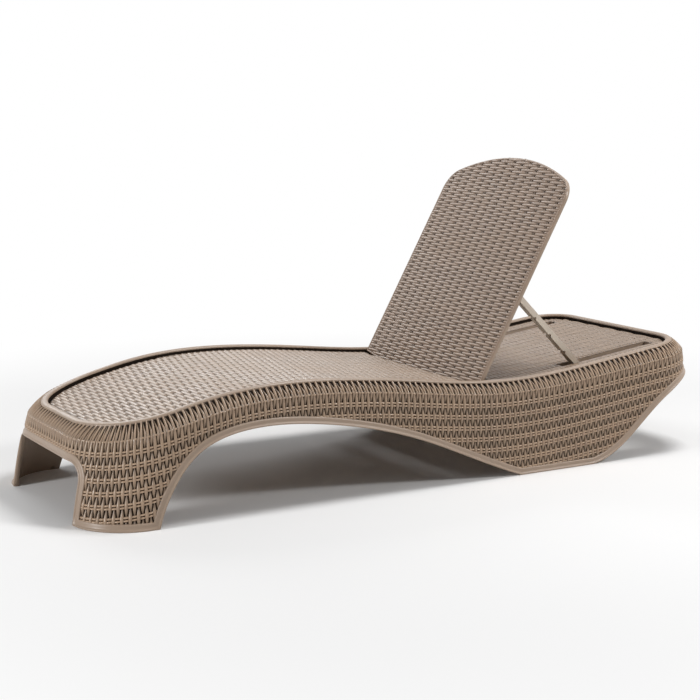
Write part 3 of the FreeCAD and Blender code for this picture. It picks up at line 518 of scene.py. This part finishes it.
for k in range(strand_count):
    run, top, along, out = strand_run[k], strand_top[k], alongs[k], outs[k]
    fall = np.arange(fall_start, wall_tall, fall_step)
    fall = fall[top - fall > floor_gap]
    clear = edge_distance(np.full(len(fall), run), top - fall) > flange_gap
    fall = fall[:len(fall) if clear.all() else np.argmin(clear)]
    brow = np.array([*brows[k], rim_height(brows[k, 0])])
    rim_end = np.array([*rims[k], rim_height(rims[k, 0])])
    knee = np.array([*knees[k], top])
    slope = np.linalg.norm(brow - knee)
    reach = slope + np.linalg.norm(rim_end - brow)
    climb = np.linspace(reach, 0, 8)
    on_slope = np.where((climb < slope)[:, None], knee + (brow - knee) * (climb / slope)[:, None],
                        brow + (rim_end - brow) * ((climb - slope) / max(reach - slope, 1e-6))[:, None])
    tilt = np.array([*out * lean_out, lean_out])
    flat_out = np.array([*out, 0])
    turn = np.clip(climb / knee_turn, 0, 1)[:, None]
    face_out = flat_out + (tilt - flat_out) * turn
    wall_points = on_wall(np.full(len(fall), run), top - fall, np.zeros(len(fall)))
    path = np.vstack([on_slope, wall_points])
    normal = np.vstack([face_out, np.tile(flat_out, (len(fall), 1))])
    down = 1 - climb / reach
    fade = np.clip(fall / knee_fade, 0, 1)
    room = np.concatenate([knee_room[k] + (rim_room[k] - knee_room[k]) * climb / reach,
                           1 + (knee_room[k] - 1) * np.clip(1 - fall / room_fade, 0, 1)])
    if k % 2:
        first_row = on_lattice + (1 - on_lattice) * fall / row_pitch
        below = np.where(fall < row_pitch, first_row, -np.cos(math.pi * fall / row_pitch))
        wave = np.concatenate([np.full(len(climb), on_lattice), below])
        lattice_half = upright_rim_half + (upright_knee_half - upright_rim_half) * down
        drift = np.zeros(len(wave))
    else:
        wave = np.concatenate([slant_rim_wave + (1 - slant_rim_wave) * down,
                               np.cos(math.pi * fall / row_pitch)])
        lower = np.minimum(down / slant_widens, 1)
        lattice_half = slant_rim_half + (slant_knee_half - slant_rim_half) * lower
        drift = np.concatenate([slant_rim_drift + (slant_knee_drift - slant_rim_drift) * lower,
                                slant_knee_drift * (1 - fade)])
    high = (over + under) / 2 + (over - under) / 2 * wave
    bulge = np.sin(math.pi * down) - np.exp(-(climb / knee_dip_run) ** 2)
    high += knee_dip * np.concatenate([bulge, -np.exp(-(fall / knee_dip_run) ** 2)])
    wall_half = over_half - (over_half - under_half) * (1 - wave[len(climb):]) / 2
    half = np.concatenate([lattice_half, lattice_half[-1] + (wall_half - lattice_half[-1]) * fade])
    side = np.array([*along, 0])
    rails = []
    for across, depth in strand_profile:
        place = path + side * ((drift + half * across) * room)[:, None]
        place += normal * (high + depth)[:, None]
        # Painted shade: the lower a point of the strand lies, the darker it is drawn.
        shade = np.clip((high + depth + shade_foot) / shade_range, 0, 1)
        rails.append(np.column_stack([place, shade]))
    strand_strips.append(np.stack(rails, 1))
    strand_tints.append(rng.random())
middle = strand_count // 2
for name, first, last in (("skirt_weave_right", 0, middle), ("skirt_weave_left", middle, strand_count)):
    piece = add_strips(name, strand_strips[first:last], skirt_strand, strand_tints[first:last])
    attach(piece, "base")

# The bands get a tone of 2.2 on the strand scale, about a fifth brighter than the strands, as a painted
# highlight for the light they catch.
band_strips, band_rows, band_painted_highlight = [], 9, 2.2
pair_lifts, pair_off, pair_swing = (-0.0035, 0.0035), 0.0025, 0.0021
knee_lifts, knee_off, knee_swing = (0.0010,), 0.0008, 0.0018
band_profile = ((-0.0024, 0), (-0.0017, 1), (0, 1), (0.0017, 1), (0.0024, 0))
band_crown, band_gap = 0.0006, 0.014
band_run = wall_length * np.arange(0, strand_count * 2 + 1) / (strand_count * 2)
band_top = top_of_wall(band_run)
for row in range(band_rows):
    for lift in pair_lifts if row else knee_lifts:
        z = band_top - row * row_pitch - lift
        seen = np.cos(math.pi * (band_run / wall_length * strand_count + row))
        off = pair_off - pair_swing * seen if row else knee_off - knee_swing * seen
        ring = np.stack([on_wall(band_run, z + up, off * proud) for up, proud in band_profile], 1)
        ring[:, 2, :2] += wall_place(band_run, z)[2] * band_crown
        keep = (edge_distance(band_run, z) > band_gap) & (z > edge_height(band_run))
        edges = np.flatnonzero(np.diff(np.concatenate([[0], keep.astype(int), [0]])))
        band_strips += [ring[first:last] for first, last in zip(edges[::2], edges[1::2])
                        if last - first > 2]
bands = add_strips("skirt_bands", band_strips, skirt_strand, [band_painted_highlight] * len(band_strips))
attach(bands, "base")

# Top rim: a smooth rounded bead of the same resin round the deck opening. It stands on the
# shoulder, covers the ends of the strands and rises and falls with the body's top edge.

rim_inside, rim_width, rim_tall = opening_run(0), 0.0180, 0.0066
outward = np.gradient(np.vstack([rim_inside[-1:], rim_inside, rim_inside[:1]]), axis=0)[1:-1]
outward = np.column_stack([outward[:, 1], -outward[:, 0]])
outward /= np.hypot(*outward.T)[:, None]
rim_profile = [
    (0, 0.0003), (0, 0.0024), (0.0010, 0.0044), (0.0034, 0.0060), (0.0085, rim_tall),
    (0.0140, 0.0060), (0.0167, 0.0044), (rim_width, 0.0024), (rim_width, -0.0010), (0, 0.0003)]
rails = []
for off, lift in rim_profile:
    place = rim_inside + outward * off
    rails.append(np.column_stack([place, rim_height(place[:, 0]) + lift]))
ring = np.stack(rails, 1)
top_rim = add_strips("rim_bead", [np.concatenate([ring, ring[:1]])], smooth_resin)
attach(top_rim, "base")
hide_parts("top_rim")

# Seat: a woven-look panel on the ledge inside the rim. Broad cross strands lie side by side; each
# dips at even steps under a short thin strand that runs lengthwise, brick fashion from row to row.

seat_pitch, back_pitch, float_length, dip_half = 0.0094, 0.0074, 0.0766, 0.0070
float_lift, float_swell, dip_depth, float_half, half_swell = 0.0016, 0.0018, 0.0056, 0.45, 0.10
float_profile = ((-1, -0.0024), (-0.70, -0.0008), (0, 0), (0.70, -0.0008), (1, -0.0024))
float_shade, tie_shade, deck_shade_foot = 0.0042, 0.0052, 0.0020
end_run, end_lift, least_span, least_step, tie_margin = 0.006, 0.35, 0.012, 0.001, 0.004
tie_reach, tie_bend, tie_rise, tie_sink = 0.95, 1.65, 0.0036, 0.0010
tie_profile = ((-0.0020, -0.0014), (0, 0), (0.0020, -0.0014))
deck_strand = strand_resin("deck_strand", (0.325, 0.234, 0.167))


def weave(rows, spans, point, raised=0):
    """cross strands and the thin strands that hold them; point gives a place on the face"""
    strips, pitch = [], rows[1] - rows[0]
    near_dip = np.array([0, 0.0025, 0.0050, 0.0085, 0.014, 0.021, 0.029])
    steps = np.concatenate([near_dip, [float_length / 2], float_length - near_dip[:0:-1]])

    def laid(x, y, lift, depth, shade_range):
        # Painted shade: the lower a point lies above the face, the darker it is drawn.
        shade = np.clip((lift - raised + depth + deck_shade_foot) / shade_range, 0, 1)
        return np.column_stack([point(x, y, lift + depth), shade])

    for k, x in enumerate(rows):
        for low, high in spans(x):
            if high - low < least_span:
                continue
            shift = float_length / 2 * (k % 2)
            first, last = np.floor((low + shift) / float_length), np.ceil((high + shift) / float_length)
            dips = np.arange(first, last) * float_length - shift
            y = np.add.outer(dips, steps).ravel()
            y = y[(y > low + least_step) & (y < high - least_step)]
            y = np.concatenate([[low], y, [high]])
            from_dip = np.abs((y + shift + float_length / 2) % float_length - float_length / 2)
            swell = np.sin(from_dip / float_length * math.pi)
            dip = np.where(from_dip < dip_half, np.cos(from_dip / dip_half * math.pi / 2) ** 2, 0)
            ends = np.clip(np.minimum(y - low, high - y) / end_run, 0, 1)
            lift = raised + float_lift + float_swell * swell - (raised + dip_depth) * dip
            lift *= end_lift + (1 - end_lift) * ends
            half = pitch * (float_half + half_swell * swell)
            strips.append(np.stack([laid(x + half * across, y, lift, depth, float_shade)
                                    for across, depth in float_profile], 1))
            for middle in dips[(dips > low + tie_margin) & (dips < high - tie_margin)]:
                at = np.linspace(-tie_reach * pitch, tie_reach * pitch, 5)
                rise = raised + tie_rise * np.cos(at / pitch * tie_bend) - tie_sink
                strips.append(np.stack([laid(x + at, np.full(5, middle) + across, rise, depth, tie_shade)
                                        for across, depth in tie_profile], 1))
    return strips


def turned_up(strips, way):
    """each strip with its faces towards way"""
    turned = []
    for strip in strips:
        normal = np.cross(strip[1, 0, :3] - strip[0, 0, :3], strip[0, -1, :3] - strip[0, 0, :3])
        turned.append(strip if normal @ way < 0 else strip[:, ::-1])
    return turned


# The seat deck's upward faces, under the strands, get the near-black painted shade that shows in the
# dips.
seat_skin, work = skin_of("seat_deck", "seat_skin", lambda face: face.normal.z > 0.5)
work.to_mesh(seat_skin.data)
work.free()
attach(seat_skin, "base")
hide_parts("seat_deck")
seat_outline, upwards = opening_run(0.0045), np.array([0, 0, 1.0])
seat_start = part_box("seat_deck")[0][0]
hinge_x, hinge_z, back_thick, foot_bow, swing_gap = 0.215, 0.235, 0.034, 0.028, 0.004
edge_margin, row_margin, hollow_half = 0.003, 0.007, 0.300
seat_sink, seat_raised, first_row_gap, hinge_gap = 0.010, 0.0030, 0.006, 0.040


def deck_half(x):
    """half the length of a cross strand on the decks"""
    return float(half_width_at(seat_outline, x)) - edge_margin


def seat_spans(x):
    """where a cross strand lies on the seat: clear of the hollow that the backrest swings in"""
    half = deck_half(x)
    side = hinge_x - back_thick - swing_gap
    middle = hinge_x - math.hypot(back_thick, foot_bow) - swing_gap
    reach = side - x - row_margin
    if x + row_margin < middle:
        return [(-half, half)]
    hollow = hollow_half * math.sqrt(max(0, 1 - max(0, reach) / (side - middle)))
    return [(-half, -hollow), (hollow, half)]


def on_seat(x, y, lift):
    """places above the seat's face"""
    x = np.broadcast_to(x, np.shape(y))
    return np.column_stack([x, y, rim_height(x) - seat_sink + lift])


seat_rows = np.arange(seat_start + first_row_gap, hinge_x - hinge_gap, seat_pitch)
strips = turned_up(weave(seat_rows, seat_spans, on_seat, seat_raised), upwards)
seat_weave = add_strips("seat_weave", strips, deck_strand, rng.random(len(strips)))
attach(seat_weave, "base")

# Rear deck: the same woven-look panel behind the hinge, under the backrest when that lies flat.
# A long slot beside each edge lets the prop through to the rest bar below.

# The rear deck's upward faces, under the strands, get the near-black painted shade that shows in the
# dips.
rear_skin, work = skin_of("rear_deck", "rear_skin", lambda face: face.normal.z > 0.5)
work.to_mesh(rear_skin.data)
work.free()
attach(rear_skin, "base")
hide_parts("rear_deck")
rear_low, rear_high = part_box("rear_deck")
slot_low, slot_high, slot_in, slot_out, slot_margin = 0.505, 0.817, 0.209, 0.239, 0.001
rear_sink, last_row_gap = 0.008, 0.004


def rear_spans(x):
    """where a cross strand lies on the rear deck: clear of the two slots"""
    half, inner, outer = deck_half(x), slot_in - slot_margin, slot_out + slot_margin
    if slot_low - row_margin < x < slot_high + row_margin:
        return [(-half, -outer), (-inner, inner), (outer, half)]
    return [(-half, half)]


def on_rear(x, y, lift):
    """places above the rear deck's face"""
    x = np.broadcast_to(x, np.shape(y))
    return np.column_stack([x, y, rim_height(x) - rear_sink + lift])


rear_rows = np.arange(rear_low[0] + first_row_gap, rear_high[0] - last_row_gap, back_pitch)
strips = turned_up(weave(rear_rows, rear_spans, on_rear), upwards)
rear_weave = add_strips("rear_weave", strips, deck_strand, rng.random(len(strips)))
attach(rear_weave, "base")

# Backrest: a woven-look face panel screwed to a ribbed back frame that carries the hinge lugs.
# Its top edge is bowed and runs into rounded corners, and one strand binds the panel's outline.

lean = math.radians(60.6)
back_up = np.array([math.cos(lean), 0, math.sin(lean)])
back_out = np.array([-math.sin(lean), 0, math.cos(lean)])
back_foot = np.array([hinge_x, 0, hinge_z])
# The panel's outward faces, under the strands, get the near-black painted shade that shows in the dips.
panel_skin, work = skin_of("backrest_panel", "panel_skin",
                           lambda face: np.array(face.normal) @ back_out > 0.9)
work.to_mesh(panel_skin.data)
work.free()
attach(panel_skin, "backrest")
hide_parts("backrest_panel")
back_long, back_half, back_round, back_bow, eased_from = 0.658, 0.295, 0.070, 0.040, 0.45
corner_half = back_half - back_round
arc_radius = (corner_half ** 2 + back_bow ** 2) / (2 * back_bow)
corner_u = back_long - arc_radius + math.sqrt((arc_radius - back_round) ** 2 - corner_half ** 2)
arc_share = arc_radius / (arc_radius - back_round)
corner_end = back_long - arc_radius + (corner_u - back_long + arc_radius) * arc_share


def back_half_at(u):
    """half the backrest's width at a height above its hinge"""
    if u < 0:
        radius = (back_half ** 2 + foot_bow ** 2) / (2 * foot_bow)
        return math.sqrt(max(0, radius ** 2 - (radius - foot_bow - u) ** 2))
    if u <= corner_u:
        return back_half
    if u <= corner_end:
        return corner_half + math.sqrt(max(0, back_round ** 2 - (u - corner_u) ** 2))
    return math.sqrt(max(0, arc_radius ** 2 - (u - back_long + arc_radius) ** 2))


def ease_corners(mesh):
    """draws the two top corners in until they run smoothly into the bowed top edge"""
    line_u = np.linspace(corner_u, back_long, 200)
    line_half = np.array([back_half_at(u) for u in line_u])
    for vertex in mesh.vertices:
        place = np.array(vertex.co) - back_foot
        u, side = place @ back_up, abs(place[1])
        if side > corner_half and u > eased_from:
            was = back_long - back_bow - back_round
            was += math.sqrt(max(0, back_round ** 2 - (side - corner_half) ** 2))
            pull = max(0, was - np.interp(-side, -line_half, line_u))
            vertex.co -= Vector(back_up * pull * min(1, (u - eased_from) / (was - eased_from)))


ease_corners(panel_skin.data)
frame_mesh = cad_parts["backrest_frame"].data.copy()
frame_skin = bpy.data.objects.new("frame_skin", frame_mesh)
bpy.context.collection.objects.link(frame_skin)
frame_mesh.materials.clear()
frame_mesh.materials.append(smooth_resin)
ease_corners(frame_mesh)
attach(frame_skin, "backrest")
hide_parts("backrest_frame")
first_back_row, row_half, outline_gap = -0.022, 0.0035, 0.002


def back_spans(u):
    """where a cross strand lies on the backrest"""
    half = min(back_half_at(u - row_half), back_half_at(u + row_half)) - outline_gap
    return [(-half, half)]


def on_back(u, y, lift):
    """places above the backrest's face"""
    u = np.broadcast_to(u, np.shape(y))
    lift = np.broadcast_to(lift, np.shape(y))
    return (back_foot + u[:, None] * back_up + (back_thick + lift)[:, None] * back_out
            + y[:, None] * np.array([0, 1.0, 0]))


back_rows = np.arange(first_back_row, back_long - last_row_gap, back_pitch)
back_strand = strand_resin("back_strand", (0.295, 0.208, 0.151))
strips = turned_up(weave(back_rows, back_spans, on_back), back_out)
back_weave = add_strips("back_weave", strips, back_strand, rng.random(len(strips)))
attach(back_weave, "backrest")

edge_u = np.concatenate([-foot_bow + foot_bow * np.linspace(0.0004, 1, 40) ** 2,
                         np.linspace(0, corner_u, 40)[1:], np.linspace(corner_u, corner_end, 24)[1:],
                         back_long - (back_long - corner_end) * np.linspace(1, 0, 40)[1:] ** 2])
edge_half = np.array([back_half_at(u) for u in edge_u])
edge_line = np.vstack([np.column_stack([edge_u, edge_half]),
                       np.column_stack([edge_u, -edge_half])[-2:0:-1]])
trend = np.roll(edge_line, -1, 0) - np.roll(edge_line, 1, 0)
inside = np.column_stack([-trend[:, 1], trend[:, 0]]) / np.hypot(*trend.T)[:, None]
inside *= -np.sign(np.sum(inside * (edge_line - [back_long / 2, 0]), axis=1))[:, None]
binding_profile = ((0.0004, -0.0040), (0.0004, 0.0004), (0.0012, 0.0018),
                   (0.0032, 0.0025), (0.0054, 0.0018), (0.0066, -0.0010))
rails, binding_tint = [], 0.3
for deep, lift in binding_profile:
    place = edge_line + inside * deep
    rails.append(on_back(place[:, 0], place[:, 1], np.full(len(place), lift)))
ring = np.stack(rails, 1)
strips = turned_up([np.concatenate([ring, ring[:1]])], back_out)
back_edge = add_strips("back_edge", strips, back_strand, [binding_tint])
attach(back_edge, "backrest")

# Hinge beam, saddles, brackets and sockets: plain mouldings of the same resin inside the body.
# They carry the backrest's pins and the bar that the props rest on, and hardly show from outside.

for node in ("hinge_beam", "beam_saddle_left", "beam_saddle_right", "hinge_bracket_left",
             "hinge_bracket_right", "bar_socket_left", "bar_socket_right"):
    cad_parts[node].data.materials.clear()
    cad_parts[node].data.materials.append(smooth_resin)

# Props: two notched channel arms in a paler resin. Each swings on a pin in the back frame and
# drops one of its notches over the rest bar, which sets the backrest's angle.

prop_resin = resin("prop_resin", (0.62, 0.535, 0.44), mottle=0.14, gloss=0.46,
                   grain_scale=700, bump=0.25)
for node in ("prop_arm_left", "prop_arm_right"):
    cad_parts[node].data.materials.clear()
    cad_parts[node].data.materials.append(prop_resin)

# Pins, rest bar and screws: bright steel, drawn and plated. The pins turn in the resin lugs, the
# bar lies in its sockets, and the screws hold the decks, the brackets and the backrest's two halves.

steel = resin("steel", (0.55, 0.55, 0.56), mottle=0.20, gloss=0.28, grain_scale=1200, bump=0.10)
steel.node_tree.nodes["Principled BSDF"].inputs["Metallic"].default_value = 1
for node in ("prop_pin_left", "prop_pin_right", "prop_rest_bar", "hinge_pin_left", "hinge_pin_right",
             "deck_screws", "bracket_screws", "backrest_screws"):
    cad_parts[node].data.materials.clear()
    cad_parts[node].data.materials.append(steel)

# Floor, light and camera: a pale studio floor that fades to white far from the object, soft lamps
# above and at three sides, and the photograph's own view.

bpy.ops.object.select_all(action="DESELECT")
bpy.ops.mesh.primitive_plane_add(size=60, location=(0, 0, 0))
floor = bpy.context.object
floor.name = "floor"
pale = bpy.data.materials.new("pale_floor")
tree, shader = node_tree(pale)
shader.inputs["Base Color"].default_value = (0.88, 0.88, 0.88, 1)
shader.inputs["Roughness"].default_value = 0.9
bright = tree.nodes.new("ShaderNodeEmission")
place = tree.nodes.new("ShaderNodeTexCoord")
away = tree.nodes.new("ShaderNodeVectorMath")
away.operation = "LENGTH"
tree.links.new(place.outputs["Object"], away.inputs[0])
fade = tree.nodes.new("ShaderNodeMapRange")
fade.interpolation_type = "SMOOTHSTEP"
fade.inputs["From Min"].default_value = 0.9
fade.inputs["From Max"].default_value = 2.4
tree.links.new(away.outputs["Value"], fade.inputs["Value"])


def seen_directly(tree):
    """1 for what the camera, a reflection or a look through glass meets"""
    path = tree.nodes.new("ShaderNodeLightPath")
    both = tree.nodes.new("ShaderNodeMath")
    both.operation = "MAXIMUM"
    tree.links.new(path.outputs["Is Camera Ray"], both.inputs[0])
    tree.links.new(path.outputs["Is Glossy Ray"], both.inputs[1])
    third = tree.nodes.new("ShaderNodeMath")
    third.operation = "MAXIMUM"
    tree.links.new(both.outputs[0], third.inputs[0])
    tree.links.new(path.outputs["Is Transmission Ray"], third.inputs[1])
    return third.outputs[0]


share = tree.nodes.new("ShaderNodeMath")
share.operation = "MULTIPLY"
tree.links.new(fade.outputs["Result"], share.inputs[0])
tree.links.new(seen_directly(tree), share.inputs[1])
blend = tree.nodes.new("ShaderNodeMixShader")
tree.links.new(share.outputs[0], blend.inputs[0])
tree.links.new(shader.outputs["BSDF"], blend.inputs[1])
tree.links.new(bright.outputs["Emission"], blend.inputs[2])
tree.links.new(blend.outputs["Shader"], tree.nodes["Material Output"].inputs["Surface"])
floor.data.materials.append(pale)

world = bpy.data.worlds.new("studio")
bpy.context.scene.world = world
world.use_nodes = True
tree = world.node_tree
soft = tree.nodes["Background"]
soft.inputs["Color"].default_value = (1, 1, 1, 1)
soft.inputs["Strength"].default_value = 0.16
white = tree.nodes.new("ShaderNodeBackground")
white.inputs["Color"].default_value = (1, 1, 1, 1)
white.inputs["Strength"].default_value = 1
blend = tree.nodes.new("ShaderNodeMixShader")
tree.links.new(seen_directly(tree), blend.inputs[0])
tree.links.new(soft.outputs["Background"], blend.inputs[1])
tree.links.new(white.outputs["Background"], blend.inputs[2])
tree.links.new(blend.outputs["Shader"], tree.nodes["World Output"].inputs["Surface"])


def lamp(name, place, aim, size, power):
    """a square soft lamp that faces aim"""
    light = bpy.data.lights.new(name, "AREA")
    light.size = size
    light.energy = power
    holder = bpy.data.objects.new(name, light)
    bpy.context.collection.objects.link(holder)
    holder.location = place
    way = np.array(aim) - np.array(place)
    tilt = math.acos(-way[2] / np.linalg.norm(way))
    holder.rotation_euler = (tilt, 0, math.atan2(way[1], way[0]) - math.pi / 2)


lamp("overhead", (1.2, -0.4, 3.6), (0.2, 0, 0.2), 1.2, 82)
lamp("back_sheen", (-0.5, 3.2, 2.4), (0.2, 0, 0.3), 1.6, 31)
lamp("front_left", (-4.2, -0.3, 1.5), (0, 0, 0.3), 0.8, 76)
lamp("right_fill", (2.7, -3.0, 2.8), (0.5, 0, 0.3), 0.7, 73)

camera = bpy.data.cameras.new("camera")
camera.sensor_width = 36
camera.lens = 82.2
view = bpy.data.objects.new("camera", camera)
bpy.context.collection.objects.link(view)
view.location = (-2.2126, -3.7268, 1.0485)
view.rotation_euler = (math.radians(90 - 9.638), 0, math.radians(-30.194))
bpy.context.scene.camera = view
